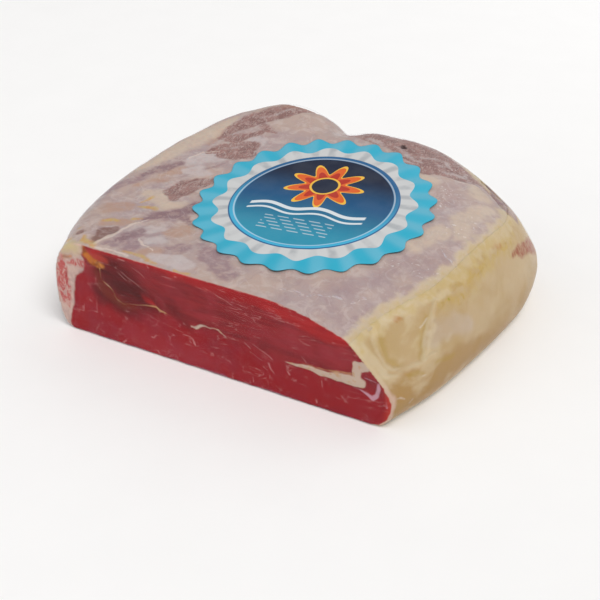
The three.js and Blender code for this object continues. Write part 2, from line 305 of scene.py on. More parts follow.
# Marks on the fat's slope, as strokes of (y, z, half width) seen from the right.
SIDE_MARKS = {
    # The fat's folds, pressed in, with pale lines painted along them as highlights of the film's
    # creases.
    "fold": [
        [(-98, 50.5, 0.4), (-101, 47, 0.9), (-103, 42, 1), (-104, 37, 1), (-101, 33, 0.9),
         (-93, 30.5, 0.5)],
        [(-60, 57, 0.3), (-66, 52.5, 0.8), (-71, 48.5, 0.8), (-76, 44, 0.9), (-82, 38, 0.9),
         (-86, 33, 0.5)],
        [(-110, 32, 0.4), (-102, 30, 0.9), (-92, 30.5, 0.9), (-84, 32.5, 0.8), (-76, 33.5, 0.3)],
    ],
    # Pale bands of whiter fat on the ridges beside the folds, partly painted highlight where the
    # ridges catch the light.
    "ridge_highlight": [
        [(-107, 50, 2), (-107.5, 44, 2.4), (-108, 38, 2.4), (-107, 32, 2)],
        [(-95, 51.5, 1), (-86, 53.5, 1.4), (-76, 56, 1.6), (-64, 58, 1.8), (-52, 58.5, 1.8)],
        [(-70, 46, 0.5), (-73, 43.5, 0.6), (-77, 39, 0.8), (-85, 33, 0.8)],
    ],
    # Olive lines in and beside the folds: partly the fat's olive tint, partly painted shade in the
    # folds.
    "olive_fold_shade": [
        [(-90, 52, 0.8), (-97, 49, 1.3), (-100, 44, 1.9), (-101, 38, 1.8), (-97, 33.5, 1.2)],
        [(-71, 50, 1), (-76, 46, 1.6), (-82, 40, 1.4), (-86.5, 34, 1.2)],
        [(-96, 27, 1.4), (-88, 26, 1)],
        [(-78, 28, 1.2), (-70, 27, 2), (-62, 26, 1.4)],
        [(-54, 54, 1)],
    ],
    "panel": [[(-76, 39, 3), (-68, 43, 5), (-58, 42, 7), (-50, 38, 6), (-44, 35, 4)]],
    "glint": [
        [(-108.5, 21, 0.2), (-106, 20.5, 0.5), (-103.5, 18.5, 0.2)],
        [(-99, 13, 0.3), (-97, 14, 0.4)],
        [(-89, 24.5, 0.3), (-87, 25, 0.4)],
        [(-71, 50, 0.2), (-74, 48, 0.4), (-78, 46.5, 0.4)],
    ],
    "gold": [
        [(-112, 50, 2), (-104, 51.5, 3), (-96, 53, 3), (-88, 55, 2.5), (-76, 58, 2.5),
         (-64, 60, 3), (-50, 61, 3.5), (-38, 61, 4.5), (-24, 61, 6), (-10, 61, 6.5),
         (4, 61, 5), (16, 60, 4), (28, 59, 3)],
        [(-60, 54, 2), (-46, 53, 3), (-34, 52, 2)],
    ],
    "hair": [
        [(17, 53, 1), (25, 51, 2.8), (35, 48.5, 3.6), (47, 44, 4), (58, 38.5, 4), (70, 31.5, 3)],
    ],
    "rust": [[(-84, 52.5, 1.3), (-86, 51.3, 1)], [(-2, 63, 0.8), (4, 62, 1.4), (8, 61.5, 0.8)]],
    "lime": [[(-72, 59, 0.9)], [(-54, 54.3, 0.8)]],
}

# Where the fat's slope darkens towards the foot, as (y, z).
LEDGE_LINE = [(-113, 29), (-74, 30), (-58, 30), (-38, 24), (-10, 15), (40, 8)]

# The seam between the cut's two muscles, as (x, z).
SEAM_LINE = [(-80, 42), (-70, 31), (-50, 32), (-10, 30), (20, 26), (50, 23), (90, 22)]


def look_only(obj):
    """Leaves obj alone selected and active, in object mode."""
    if bpy.context.object and bpy.context.object.mode != "OBJECT":
        bpy.ops.object.mode_set(mode="OBJECT")
    bpy.ops.object.select_all(action="DESELECT")
    obj.select_set(True)
    bpy.context.view_layer.objects.active = obj


def mesh_places(obj):
    """Every vertex's place, in millimetres."""
    flat = np.empty(len(obj.data.vertices) * 3, np.float32)
    obj.data.vertices.foreach_get("co", flat)
    return flat.reshape(-1, 3).astype(float) / MM


def mesh_normals(obj):
    flat = np.empty(len(obj.data.vertices) * 3, np.float32)
    obj.data.vertex_normals.foreach_get("vector", flat)
    return flat.reshape(-1, 3).astype(float)


def face_table(obj):
    """Every face's middle, in millimetres, and its normal."""
    count = len(obj.data.polygons)
    middles = np.empty(count * 3, np.float32)
    normals = np.empty(count * 3, np.float32)
    obj.data.polygons.foreach_get("center", middles)
    obj.data.polygons.foreach_get("normal", normals)
    return middles.reshape(-1, 3).astype(float) / MM, normals.reshape(-1, 3).astype(float)


def select_faces(obj, chosen):
    """Selects just these faces, in edit mode."""
    look_only(obj)
    bpy.ops.object.mode_set(mode="EDIT")
    bpy.ops.mesh.select_mode(type="FACE")
    bpy.ops.mesh.select_all(action="DESELECT")
    bpy.ops.object.mode_set(mode="OBJECT")
    obj.data.polygons.foreach_set("select", chosen)
    bpy.ops.object.mode_set(mode="EDIT")


def select_places(obj, chosen):
    """Selects just these vertices, in edit mode."""
    look_only(obj)
    bpy.ops.object.mode_set(mode="EDIT")
    bpy.ops.mesh.select_mode(type="VERT")
    bpy.ops.mesh.select_all(action="DESELECT")
    bpy.ops.object.mode_set(mode="OBJECT")
    obj.data.vertices.foreach_set("select", chosen)
    bpy.ops.object.mode_set(mode="EDIT")


def finish_edit():
    bpy.ops.object.mode_set(mode="OBJECT")


def apply_modifier(obj, kind, name, **settings):
    """Adds one modifier with these settings and applies it."""
    look_only(obj)
    modifier = obj.modifiers.new(name, kind)
    for key, value in settings.items():
        setattr(modifier, key, value)
    bpy.ops.object.modifier_apply(modifier=modifier.name)


def weigh(obj, weights, levels=32):
    """Paints a vertex group with these weights, from 0 to 1, and gives its name."""
    group = obj.vertex_groups.new(name="painted weight")
    steps = np.round(np.clip(weights, 0, 1) * levels).astype(int)
    for step in range(1, levels + 1):
        places = np.flatnonzero(steps == step)
        if len(places):
            group.add(places.tolist(), step / levels, "REPLACE")
    return group.name


def push(obj, rise, weights=None, texture=None):
    """Moves the surface out by rise, in millimetres, times the weights, evenly or by a texture."""
    settings = {"strength": rise * MM, "mid_level": 0.5 if texture else 0.0, "direction": "NORMAL"}
    if weights is not None:
        settings["vertex_group"] = weigh(obj, weights)
    if texture:
        settings.update(texture=texture, texture_coords="LOCAL")
    apply_modifier(obj, "DISPLACE", "push", **settings)
    obj.vertex_groups.clear()


def clouds(name, size, depth=2, kind="CLOUDS"):
    """A cloudy texture whose lumps are about size millimetres across."""
    texture = bpy.data.textures.new(name, kind)
    texture.noise_scale = size * MM
    if kind == "CLOUDS":
        texture.noise_depth = depth
    return texture


def distance_to(obj, other, wanted=None):
    """How far each vertex of obj lies from the other's faces, or the wanted ones, in mm."""
    corners = [vertex.co for vertex in other.data.vertices]
    faces = [face.vertices for face in other.data.polygons if wanted is None or wanted(face)]
    tree = BVHTree.FromPolygons(corners, faces)
    return np.array([tree.find_nearest(vertex.co)[3] for vertex in obj.data.vertices]) / MM


def lie_under(obj, skin, gap, reach):
    """Lays what lies within reach of the skin evenly under it, at this gap, in millimetres."""
    near = 1 - ease(distance_to(obj, skin), reach, reach * 1.4)
    apply_modifier(obj, "SHRINKWRAP", "lie_under", target=skin, wrap_method="NEAREST_SURFACEPOINT",
                   wrap_mode="ABOVE_SURFACE", offset=-gap * MM, vertex_group=weigh(obj, near))
    obj.vertex_groups.clear()


def ease(value, low, high):
    """0 below low, 1 above high and a smooth step between."""
    t = np.clip((value - low) / (high - low), 0, 1)
    return t * t * (3 - 2 * t)


def stroke_depth(places, strokes):
    """How far each place lies inside the nearest stroke, in millimetres: below zero, outside."""
    best = np.full(len(places), -FAR)
    for stroke in strokes:
        points = np.array(stroke if len(stroke) > 1 else stroke * 2, float)
        for start, end in zip(points[:-1], points[1:]):
            along = end[:2] - start[:2]
            share = np.clip((places - start[:2]) @ along / max(along @ along, 1e-9), 0, 1)
            gap = np.linalg.norm(places - start[:2] - share[:, None] * along, axis=1)
            best = np.maximum(best, start[2] + (end[2] - start[2]) * share - gap)
    return best


def waver(places, size, reach):
    """Shifts flat places about, by up to reach, so that strokes drawn through them waver."""
    shift = [noise.noise_vector(Vector((a, b, size)) / size)[:2] for a, b in places]
    return places + np.array(shift) * reach


def keep_field(obj, name, values):
    """Stores one number a vertex, for the materials to read."""
    layer = obj.data.attributes.get(name) or obj.data.attributes.new(name, "FLOAT", "POINT")
    layer.data.foreach_set("value", np.asarray(values, np.float32))


def top_fields(obj):
    """The top's marks at each vertex. They run out where the surface turns down."""
    normals = mesh_normals(obj)
    flat = waver(waver(mesh_places(obj)[:, :2], 15, 2.2), 5, 1.0)
    turned = np.maximum(0, 0.45 - normals[:, 2]) * FAR * 1.6
    return {name: stroke_depth(flat, strokes) - turned for name, strokes in TOP_MARKS.items()}


def cut_fields(obj):
    """The cut's marks at each vertex, and where it lies between the cut's seam and its rim."""
    places = mesh_places(obj)
    flat = waver(waver(places[:, [0, 2]], 11, 1.2), 3.5, 0.45)
    behind = np.maximum(0, places[:, 1] - CUT_Y - 2)
    fields = {name: stroke_depth(flat, strokes) - behind for name, strokes in CUT_MARKS.items()}
    fields["below"] = np.interp(flat[:, 0], *zip(*SEAM_LINE)) - flat[:, 1]
    fields["rim"] = distance_to(obj, bpy.data.objects["clear_film"],
                                lambda face: face.normal.y > -0.5 and face.normal.z > -0.7)
    return fields


def side_fields(obj):
    """The marks on the fat's slope at each vertex, and how far it lies above the fat's ledge."""
    flat = waver(waver(mesh_places(obj)[:, 1:], 14, 2.0), 5, 1.0)
    fields = {name: stroke_depth(flat, strokes) for name, strokes in SIDE_MARKS.items()}
    fields["ledge"] = flat[:, 1] - np.interp(flat[:, 0], *zip(*LEDGE_LINE))
    return fields


class Shades:
    """Adds linked nodes to one material. Each call gives back the socket that it makes."""

    def __init__(self, name):
        self.material = bpy.data.materials.new(name)
        self.material.use_nodes = True
        self.tree = self.material.node_tree
        self.tree.nodes.clear()
        self.surface = self.tree.nodes.new("ShaderNodeBsdfPrincipled")
        output = self.tree.nodes.new("ShaderNodeOutputMaterial")
        self.tree.links.new(self.surface.outputs["BSDF"], output.inputs["Surface"])
        self.places = self.tree.nodes.new("ShaderNodeTexCoord").outputs["Object"]

    def feed(self, socket, value):
        if isinstance(value, bpy.types.NodeSocket):
            self.tree.links.new(value, socket)
        else:
            socket.default_value = value

    def field(self, name):
        node = self.tree.nodes.new("ShaderNodeAttribute")
        node.attribute_name = name
        return node.outputs["Fac"]

    def turned(self, turn=(0, 0, 0), stretch=(1, 1, 1), start=None):
        """The places turned, in degrees, and then stretched by these shares."""
        node = self.tree.nodes.new("ShaderNodeMapping")
        self.feed(node.inputs["Vector"], start or self.places)
        node.inputs["Rotation"].default_value = [math.radians(angle) for angle in turn]
        node.inputs["Scale"].default_value = stretch
        return node.outputs["Vector"]

    def noise(self, size, detail=3.0, rough=0.5, bend=0.0, places=None):
        """Clouds from 0 to 1, whose lumps are about size millimetres across."""
        node = self.tree.nodes.new("ShaderNodeTexNoise")
        self.feed(node.inputs["Vector"], places or self.places)
        node.inputs["Scale"].default_value = 1 / (size * MM)
        node.inputs["Detail"].default_value = detail
        node.inputs["Roughness"].default_value = rough
        node.inputs["Distortion"].default_value = bend
        return node.outputs["Fac"]

    def sum(self, operation, first, second=0.0, third=0.0):
        node = self.tree.nodes.new("ShaderNodeMath")
        node.operation = operation
        for socket, value in zip(node.inputs, (first, second, third)):
            self.feed(socket, value)
        return node.outputs["Value"]

    def ramp(self, value, low, high, start=0.0, end=1.0):
        """A smooth step from start to end as value goes from low to high."""
        node = self.tree.nodes.new("ShaderNodeMapRange")
        node.interpolation_type = "SMOOTHSTEP"
        for name, number in (("Value", value), ("From Min", low), ("From Max", high),
                             ("To Min", start), ("To Max", end)):
            self.feed(node.inputs[name], number)
        return node.outputs["Result"]

    def mix(self, share, under, over):
        node = self.tree.nodes.new("ShaderNodeMix")
        node.data_type = "RGBA"
        self.feed(node.inputs[0], share)
        for socket, value in ((node.inputs[6], under), (node.inputs[7], over)):
            self.feed(socket, value if isinstance(value, bpy.types.NodeSocket) else (*value, 1.0))
        return node.outputs[2]

    def grain(self, coarse, fine):
        """The two noises that make the edges of marks wander."""
        self.coarse = self.noise(coarse, 3)
        self.fine = self.noise(fine, 4, 0.6)

    def patch(self, name, soft, wander, share=1.0):
        """From 0 outside a mark to share inside it, with an edge that wanders and is soft, in mm."""
        swing = self.sum("MULTIPLY_ADD", self.coarse, 2 * wander, -wander)
        value = self.sum("ADD", self.field(name), swing)
        value = self.sum("ADD", value, self.sum("MULTIPLY_ADD", self.fine, wander, -wander / 2))
        return self.ramp(value, -soft, soft, 0, share)

    def paint(self, under, name, over, soft, wander, share=1.0, gaps=0.0):
        """Paints a mark over what is under it, with cloudy gaps where less of it shows."""
        cover = self.patch(name, soft, wander, share)
        if gaps:
            cloudy = self.ramp(self.noise(4.5, 5, 0.65, 0.5), 0.38, 0.58, 1 - gaps, 1.0)
            cover = self.sum("MULTIPLY", cover, cloudy)
        return self.mix(cover, under, over)

    def ridges(self, size, width, detail, bend, start=None):
        """1 on thin winding lines and 0 between them."""
        value = self.sum("SUBTRACT", self.noise(size, detail, 0.55, bend, start), 0.5)
        return self.ramp(self.sum("ABSOLUTE", value), width, 0.0)

    def bump(self, heights, strength, distance):
        """Small relief from heights, distance millimetres deep at most."""
        node = self.tree.nodes.new("ShaderNodeBump")
        node.inputs["Strength"].default_value = strength
        node.inputs["Distance"].default_value = distance * MM
        self.feed(node.inputs["Height"], heights)
        return node.outputs["Normal"]

    def set(self, **values):
        """Sets the surface's sockets. A name's underscores stand for its spaces."""
        for name, value in values.items():
            socket = self.surface.inputs[name.replace("_", " ")]
            if not isinstance(value, (bpy.types.NodeSocket, float, int)) and len(value) == 3:
                value = (*value, 1.0) if socket.type == "RGBA" else value
            self.feed(socket, value)


def film_gloss(shades, depth, scatter, heights):
    """What meat and fat share: gloss of the film that lies tight on them, and depth under it."""
    shades.set(
        Subsurface_Weight=depth, Subsurface_Radius=scatter, Subsurface_Scale=0.001,
        Roughness=0.5, Specular_IOR_Level=0.06,
        Coat_Weight=0.3, Coat_Roughness=0.18, Coat_IOR=1.45,
        Normal=shades.bump(heights, 0.5, 0.4),
    )


def fascia_colour(s, colours):
    """Pale fascia over the meat, with patches of meat, seams and yellow stains. Glints and glare of
    the film, and the shade in a pit, are painted on too.
    """
    cloud = s.noise(34, 4, 0.55)
    colour = s.mix(s.ramp(cloud, 0.36, 0.62), colours.fascia, colours.fascia_warm)
    colour = s.mix(s.ramp(s.noise(13, 5, 0.65, 1.0), 0.5, 0.66, 0, 0.32), colour, colours.mauve)
    colour = s.mix(s.ramp(s.noise(8, 5, 0.65, 0.8), 0.46, 0.66, 0, 0.5), colour,
                   colours.fascia_pale)
    colour = s.paint(colour, "dusk", colours.mauve, 4, 3, 0.35, 0.5)
    colour = s.paint(colour, "mauve", colours.mauve, 2.0, 3, 0.85, 0.6)
    colour = s.paint(colour, "peach", colours.peach, 2.2, 2.4, 0.75, 0.4)
    colour = s.paint(colour, "cream", colours.cream, 3.2, 3, 0.75, 0.3)
    colour = s.paint(colour, "pale", colours.pale, 1.8, 2.6, 0.85, 0.35)
    colour = s.paint(colour, "butter", colours.butter, 5, 4, 0.85)

    # Where the surface turns down, at the sides and back, a noise bares patches of meat.
    wild = s.ramp(s.noise(30, 5, 0.6, 0.8), 0.54, 0.64, 0, 0.9)
    wild = s.sum("MULTIPLY", wild, s.ramp(s.field("level"), 0.5, 0.2))
    crinkles = s.ramp(s.noise(3.4, 6, 0.7, 2.2, s.turned((0, 0, 25), (1, 0.5, 1))), 0.47, 0.6)
    meat = s.mix(s.ramp(s.noise(6, 4), 0.4, 0.62), colours.meat_brown, colours.meat_shade)
    # Painted highlights: pale flecks where the film crinkles over the bare meat.
    meat = s.mix(s.sum("MULTIPLY", crinkles, 0.8), meat, colours.crinkle_glare)
    meat = s.mix(s.ramp(s.noise(1.3, 3), 0.54, 0.66, 0, 0.3), meat, colours.meat_shade)
    bare = s.sum("MAXIMUM", s.patch("meat", 1.1, 2.6, 0.92), wild)
    colour = s.mix(bare, colour, meat)
    # Painted highlights of the film's crinkles lighten the plum meat too.
    plum = s.mix(s.sum("MULTIPLY", crinkles, 0.5), colours.plum, colours.mauve)
    colour = s.paint(colour, "plum", plum, 1.5, 2.4, 0.85, 0.5)
    colour = s.paint(colour, "brown", colours.brown, 1.2, 1.6, 0.9, 0.3)
    colour = s.paint(colour, "tan", colours.tan, 2.5, 2.4, 0.65, 0.4)
    # Painted glare: pale lines where the film lies wrinkled on the bare meat.
    colour = s.paint(colour, "haze", colours.pale, 1.6, 1.8, 0.7, 0.4)

    # Painted sheen: thin white wrinkles of the film catching the light.
    film_sheen_lines = s.sum("MULTIPLY", s.ridges(19, 0.014, 1.2, 0.6),
                  s.ramp(s.noise(22, 3), 0.5, 0.62, 0, 0.12))
    colour = s.mix(film_sheen_lines, colour, colours.glint_speck)
    colour = s.paint(colour, "seam", colours.seam, 0.5, 0.6, 0.62)
    stain = s.mix(s.ramp(s.noise(2.5, 4), 0.42, 0.58), colours.stain, colours.fat_gold)
    colour = s.paint(colour, "stain", stain, 1.3, 1.5, 0.85, 0.3)
    # Painted highlights: white specks where the film glints.
    specks = s.ramp(s.noise(1.7, 2, 0.4), 0.63, 0.7)
    specks = s.sum("MULTIPLY", specks, s.ramp(s.field("glint_speck"), -2, 3, 0, 0.6))
    colour = s.mix(specks, colour, colours.glint_speck)
    # Painted highlights: thin white glints along the film's creases.
    colour = s.mix(s.ramp(s.field("crease_glint"), -0.25, 0.2, 0, 0.35), colour, colours.glint_speck)
    # Painted shade: the pit is painted dark.
    colour = s.mix(s.ramp(s.field("pit"), -0.9, 0.5, 0, 1.0), colour, colours.pit)

    return border_colour(s, colours, colour), s.sum("MULTIPLY", bare, crinkles)


def border_colour(s, colours, colour):
    """Where fascia and fat meet, both turn cream, with a ragged yellow line between them."""
    reach = s.sum("MULTIPLY_ADD", s.coarse, 16, s.field("border"))
    colour = s.mix(s.ramp(s.sum("ABSOLUTE", s.sum("SUBTRACT", reach, 7)), 9, 3, 0, 0.7), colour,
                   colours.fat_light)
    rag = s.ramp(s.noise(8, 3, 0.5, 0.6), 0.4, 0.62, 0.1, 0.52)
    line = s.ramp(s.sum("ABSOLUTE", s.sum("SUBTRACT", reach, 5.5)), 6.5, 1.5)
    colour = s.mix(s.sum("MULTIPLY", rag, line), colour, colours.fat_gold)
    # Behind the flap the meat is mauve, painted darker plum along the step's edge as painted shade
    # under the flap.
    shade = s.mix(s.ramp(s.field("behind"), 0, 7), colours.plum, colours.mauve)
    return s.paint(colour, "behind", shade, 1.6, 3.2, 0.85, 0.45)


def cut_colour(s, colours):
    """The cut meat: fibres, a bright band under the top, a dark muscle, tendon and fat seams, with the
    film's glints and a glow at the edges painted on.
    """
    along = s.turned((0, 18, 0), (0.14, 1, 1))
    cloud = s.noise(14, 4, 0.6)
    fibres = s.ramp(s.noise(2.6, 5, 0.6, 0.3, along), 0.28, 0.7)
    colour = s.mix(fibres, colours.lean, colours.lean_light)
    colour = s.mix(s.ramp(cloud, 0.44, 0.66, 0, 0.3), colour, colours.lean_pink)
    below = s.ramp(s.sum("MULTIPLY_ADD", s.coarse, 8, s.field("below")), 1, 7)
    lower = s.mix(s.ramp(cloud, 0.4, 0.6), colours.lean_rose, colours.lean_deep)
    grain = s.noise(2.6, 6, 0.75, 0.8)
    lower = s.mix(s.ramp(grain, 0.5, 0.68, 0, 0.6), lower, colours.lean_pink)
    colour = s.mix(below, colour, lower)
    colour = s.paint(colour, "flush", colours.lean_pink, 6, 4, 0.35)
    colour = s.paint(colour, "deep", colours.lean_deep, 6, 4, 0.6)
    streaks = s.ramp(s.noise(2.0, 4, 0.6, 0.2, along), 0.42, 0.62)
    dark = s.mix(s.sum("MULTIPLY", streaks, 0.4), colours.lean_dark, colours.lean)
    colour = s.paint(colour, "dark", dark, 7, 4, 1.0)
    colour = s.paint(colour, "umber", colours.umber, 2.2, 1.6, 0.6)
    # Painted light: an orange glow along the cut's edges.
    colour = s.paint(colour, "edge_glow", colours.edge_glow, 1.8, 1.4, 0.6)
    band = s.mix(s.ramp(s.noise(4, 4, 0.6, 0.3, along), 0.4, 0.62), colours.lean_bright,
                 colours.lean_glow)
    colour = s.paint(colour, "bright", band, 1.8, 1.8, 0.85)

    # Fine threads of white run with the fibres above, and curl at random below.
    threads = s.sum("MULTIPLY", s.ridges(5.5, 0.014, 3, 0.4, along),
                    s.ramp(s.noise(12, 2), 0.5, 0.6, 0, 0.35))
    curls = s.sum("MULTIPLY", s.ridges(8, 0.03, 4, 1.2), s.ramp(s.noise(5, 3), 0.53, 0.66, 0, 0.45))
    curls = s.sum("MULTIPLY", curls, below)
    colour = s.mix(s.sum("MAXIMUM", threads, curls), colour, colours.thread)
    colour = s.paint(colour, "line", colours.thread, 0.4, 0.4, 0.6)
    colour = s.paint(colour, "tendon", colours.tendon, 0.45, 0.5, 0.85)
    pale = s.mix(s.ramp(s.noise(3.2, 4, 0.6), 0.52, 0.62, 0, 0.6), colours.seam_fat, colours.tendon)
    colour = s.paint(colour, "fat", pale, 0.5, 0.9, 0.92)
    # Painted highlights: the film's glints on the cut.
    colour = s.paint(colour, "film_glint", colours.film_glint, 0.5, 0.6, 0.7)
    rind = s.mix(s.ramp(s.noise(5, 4, 0.6, 0.8), 0.4, 0.62), colours.rind, colours.rind_grey)
    colour = s.paint(colour, "rind", rind, 1.0, 1.6, 0.95)
    colour = s.paint(colour, "butter", colours.butter, 4, 3, 0.85)
    marbled = s.noise(3.4, 5, 0.65, 1.4, s.turned(stretch=(1, 1, 0.6)))
    marbled = s.ramp(marbled, 0.56, 0.44, 0.2, 0.85)
    colour = s.mix(s.sum("MULTIPLY", s.patch("rose", 1.2, 1.8), marbled), colour, colours.rose)
    amber = s.mix(s.ramp(s.noise(4, 4), 0.48, 0.64, 0, 0.7), colours.amber, colours.umber)
    colour = s.paint(colour, "amber", amber, 1.4, 2, 0.8)

    # A pale line where the cut meets the film round it, and along the foot a lilac line of painted
    # sheen, where the film's edge catches the light.
    edge = s.sum("MULTIPLY_ADD", s.fine, 1.2, s.field("rim"))
    colour = s.mix(s.ramp(edge, 1.6, 0.9, 0, 0.6), colour, colours.rind)
    foot = s.sum("MULTIPLY_ADD", s.coarse, 4, s.field("height"))
    return s.mix(s.ramp(foot, 4.0, 2.0, 0, 0.5), colour, colours.lilac)


def fat_colour(s, colours):
    """Cream fat that yellows towards its upper edge and darkens towards the foot, with shade and
    highlights painted along its folds.
    """
    cloud = s.noise(26, 3, 0.5, 0.4)
    mottle = s.noise(7, 5, 0.65, 1.0)
    colour = s.mix(s.ramp(cloud, 0.38, 0.62), colours.fat, colours.fat_pale)
    height = s.sum("MULTIPLY_ADD", s.coarse, 6, s.field("height"))
    colour = s.mix(s.ramp(height, 42, 6, 0, 0.75), colour, colours.fat_foot)
    ledge = s.sum("MULTIPLY_ADD", s.coarse, 8, s.field("ledge"))
    colour = s.mix(s.ramp(ledge, 7, 1, 0, 0.55), colour, colours.fat_foot)
    gold = s.sum("MULTIPLY", s.patch("gold", 4, 4), s.ramp(mottle, 0.4, 0.6, 0.15, 0.8))
    colour = s.mix(gold, colour, colours.fat_gold)
    streaks = s.ramp(s.noise(5, 4, 0.55, 1.0, s.turned(stretch=(1, 0.4, 1))), 0.53, 0.66, 0, 0.45)
    colour = s.mix(s.sum("MULTIPLY", streaks, s.patch("gold", 5, 4)), colour, colours.fat_deep)
    flakes = s.ramp(s.noise(15, 3, 0.5, 0.4, s.turned(stretch=(1, 0.45, 1))), 0.5, 0.66, 0, 0.5)
    flakes = s.sum("MULTIPLY", flakes, s.ramp(s.field("behind_cut"), 50, 90, 1, 0.35))
    colour = s.mix(flakes, colour, colours.fat_light)
    # Olive fat with painted shade along the folds.
    colour = s.paint(colour, "olive_fold_shade", colours.fat_deep, 1.5, 1.6, 0.55)
    colour = s.paint(colour, "panel", colours.pale, 3, 2.4, 0.3)
    # Whiter fat and painted highlight along the ridges.
    colour = s.paint(colour, "ridge_highlight", colours.fat_light, 1.2, 1.2, 0.7, 0.2)
    colour = s.paint(colour, "glint", colours.glint_speck, 0.4, 0.3, 0.35)
    # Painted highlights: pale lines along the film's creases in the folds.
    colour = s.paint(colour, "fold", colours.fat_light, 1.0, 0.8, 0.5)
    hairs = s.noise(2.2, 4, 0.6, 0.4, s.turned((-12, 0, 0), (1, 1, 0.22)))
    hairs = s.ramp(hairs, 0.4, 0.58, 0.5, 1.0)
    colour = s.mix(s.sum("MULTIPLY", s.patch("hair", 1.6, 2.2, 0.95), hairs), colour, colours.hair)
    colour = s.paint(colour, "rust", colours.rust, 0.9, 0.6, 0.7)
    colour = s.paint(colour, "lime", colours.lime, 0.5, 0.3, 0.6)
    colour = border_colour(s, colours, colour)
    edge = s.sum("MULTIPLY_ADD", s.coarse, 6, s.field("behind_cut"))
    strip = s.mix(s.ramp(height, 26, 36), colours.rind, colours.fat_light)
    return s.mix(s.ramp(edge, 7, 4, 0, 0.7), colour, strip)


def at_cut(s, depth):
    """1 on the cut's own face and 0 behind it."""
    split = s.tree.nodes.new("ShaderNodeSeparateXYZ")
    s.feed(split.inputs[0], s.places)
    back = s.sum("MULTIPLY_ADD", s.fine, 0.8 * MM, split.outputs[1])
    return s.ramp(back, (CUT_Y + depth + 0.5) * MM, (CUT_Y + depth + 0.2) * MM)


def meat_material(colours):
    s = Shades("cured_meat")
    s.grain(9, 2.2)
    outside, crinkles = fascia_colour(s, colours)
    cut = at_cut(s, 0.9)
    s.set(Base_Color=s.mix(cut, outside, cut_colour(s, colours)))
    film_gloss(s, 0.2, (3.0, 1.2, 0.9), s.sum("ADD", s.sum("MULTIPLY", s.coarse, 0.8), crinkles))
    return s.material


def fat_material(colours):
    """Fat outside. On the cut only a thin line of it shows round the meat."""
    s = Shades("ham_fat")
    s.grain(9, 2.2)
    lean = s.sum("MULTIPLY", at_cut(s, 0.7), s.ramp(s.field("rim"), 0.9, 1.5))
    s.set(Base_Color=s.mix(lean, fat_colour(s, colours), cut_colour(s, colours)))
    film_gloss(s, 0.3, (4.0, 2.6, 1.6), s.sum("ADD", s.coarse, s.fine))
    return s.material


def film_material(settings):
    """Clear film: faint haze, more of it where it is seen edge on, and white glints on creases."""
    s = Shades("clear_film")
    edge = s.tree.nodes.new("ShaderNodeLayerWeight")
    edge.inputs["Blend"].default_value = 0.35
    haze = s.ramp(edge.outputs["Facing"], 0.5, 1.0, settings.haze, settings.edge_haze)
    creases = s.ramp(s.field("crease_glint"), -0.25, 0.15, 0, 0.3)
    s.set(
        Base_Color=settings.tint, Roughness=0.18, Specular_IOR_Level=0.5,
        Alpha=s.sum("MAXIMUM", haze, creases),
        Normal=s.bump(s.noise(6, 3, 0.5, 0.8), 0.35, 0.3),
    )
    return s.material


def copy_nodes(name, nodes):
    """The CAD solids of these nodes as one new mesh object, with their loose triangles merged."""
    copies = []
    for node in nodes:
        copy = bpy.data.objects.new(name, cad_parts[node].data.copy())
        copy.data.materials.clear()
        bpy.context.scene.collection.objects.link(copy)
        copies.append(copy)
    look_only(copies[0])
    for copy in copies[1:]:
        copy.select_set(True)
    if len(copies) > 1:
        bpy.ops.object.join()
    whole = bpy.context.view_layer.objects.active
    whole.name = name
    bpy.ops.object.mode_set(mode="EDIT")
    bpy.ops.mesh.select_all(action="SELECT")
    bpy.ops.mesh.remove_doubles(threshold=0.01 * MM)
    finish_edit()
    return whole


def soften(obj, times, cut_margin=1.0):
    """Smooths the facets away, and leaves the cut and the flat underside as they are."""
    places = mesh_places(obj)
    free = ease(places[:, 1], CUT_Y + cut_margin, CUT_Y + cut_margin + 4)
    free *= ease(places[:, 2], 0.8, 4)
    apply_modifier(obj, "SMOOTH", "soften", factor=0.5, iterations=times,
                   vertex_group=weigh(obj, free))
    obj.vertex_groups.clear()


def flatten(obj, axis, value, reach):
    """Presses what lies within reach of a plane, facing out of it, flat onto the plane."""
    places, normals = mesh_places(obj), mesh_normals(obj)
    near = (np.abs(places[:, axis] - value) < reach) & (normals[:, axis] < -0.8)
    select_places(obj, near)
    scale = [1.0, 1.0, 1.0]
    scale[axis] = 0.0
    centre = [0.0, 0.0, 0.0]
    centre[axis] = value * MM
    bpy.ops.transform.resize(value=scale, center_override=centre)
    finish_edit()


def thin_underside(obj, share):
    """The flat underside needs few faces."""
    middles, normals = face_table(obj)
    select_faces(obj, (normals[:, 2] < -0.98) & (middles[:, 2] < 1.5))
    bpy.ops.mesh.decimate(ratio=share)
    finish_edit()


def add_piece(obj, material_slot, *nodes):
    """Hands a finished piece over to the frame."""
    look_only(obj)
    bpy.ops.object.shade_smooth()
    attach(obj, BODY)
    if nodes:
        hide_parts(*nodes)


def tone(name, colour):
    return FloatVectorProperty(
        name=name, description=f"Colour of the {name.lower()}", subtype="COLOR",
        size=3, min=0.0, max=1.0, default=srgb(*colour))


def length(name, description, millimetres):
    return FloatProperty(
        name=name, description=description, default=millimetres * MM, unit="LENGTH",
        subtype="DISTANCE", precision=5)


class HamForm(bpy.types.PropertyGroup):
    meat_grid: length("Meat grid", "Distance between the meat's mesh points", 1.35)
    fat_grid: length("Fat grid", "Distance between the fat's mesh points", 0.9)
    film_grid: length("Film grid", "Distance between the film's mesh points", 1.6)
    film_gap: length("Film gap", "How far the meat and fat lie under the film", 0.35)
    root: length("Root", "How far the fat's upper edge is rooted in the meat", 1.6)
    lumps: length("Lumps", "Height of the broad lumps on the top", 1.6)
    meat_sink: length("Meat sink", "How far bare meat lies below the fascia", 0.6)
    flap_step: length("Flap step", "Depth of the step behind the flap of fascia", 2.0)
    seam_rise: length("Seam rise", "How far seams stand above the fascia", 0.45)


